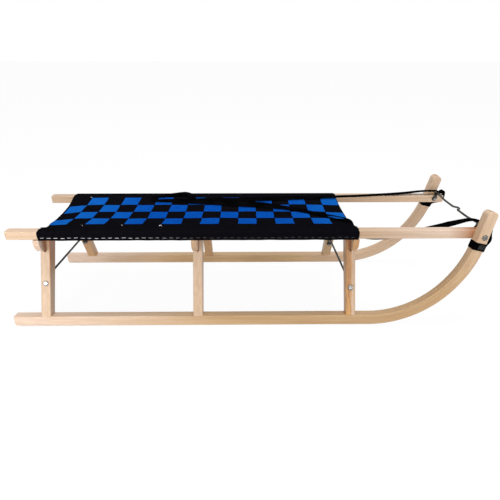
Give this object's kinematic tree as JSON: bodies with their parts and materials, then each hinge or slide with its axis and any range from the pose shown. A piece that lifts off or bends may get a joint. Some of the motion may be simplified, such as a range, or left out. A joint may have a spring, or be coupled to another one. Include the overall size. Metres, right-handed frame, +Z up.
{
  "type": "wooden sled",
  "caption": "Wooden horn sled: two steam-bent runners with upright horns, trestles, side rails, a woven cloth seat, a steel pull bar and a webbing pull strap.",
  "frame": {"origin": "on the ground, at the middle of the sled's length and width", "axes": "+X towards the front (the horns), +Z up, +Y to the left"},
  "size_m": [1.098, 0.3542, 0.2772],
  "materials": {
    "beech": "clear varnished beech",
    "shoe_steel": "bare drawn strip",
    "rod_steel": "dull zinc-plated rod",
    "zinc_steel": "bright zinc plate",
    "seat_cloth": "woven webbing cloth, black and blue checks",
    "webbing": "black woven tape"
  },
  "bodies": {
    "root": {"brace_bolt_front_left": "zinc_steel", "brace_bolt_front_right": "zinc_steel", "brace_bolt_rear_left": "zinc_steel", "brace_bolt_rear_right": "zinc_steel", "brace_front": "rod_steel", "brace_rear": "rod_steel", "horn_bolt_left": "zinc_steel", "horn_bolt_right": "zinc_steel", "leg_front_left": "beech", "leg_front_right": "beech", "leg_middle_left": "beech", "leg_middle_right": "beech", "leg_rear_left": "beech", "leg_rear_right": "beech", "pull_bar": "rod_steel", "pull_strap": "webbing", "rail_left": "beech", "rail_right": "beech", "runner_left": "beech", "runner_right": "beech", "seat": "seat_cloth", "shoe_left": "shoe_steel", "shoe_right": "shoe_steel", "strap_loop_left": "webbing", "strap_loop_right": "webbing", "yoke_front": "beech", "yoke_middle": "beech", "yoke_rear": "beech", "yoke_screw_front_left": "zinc_steel", "yoke_screw_front_right": "zinc_steel", "yoke_screw_middle_left": "zinc_steel", "yoke_screw_middle_right": "zinc_steel", "yoke_screw_rear_left": "zinc_steel", "yoke_screw_rear_right": "zinc_steel"}
  },
  "joints": []
}
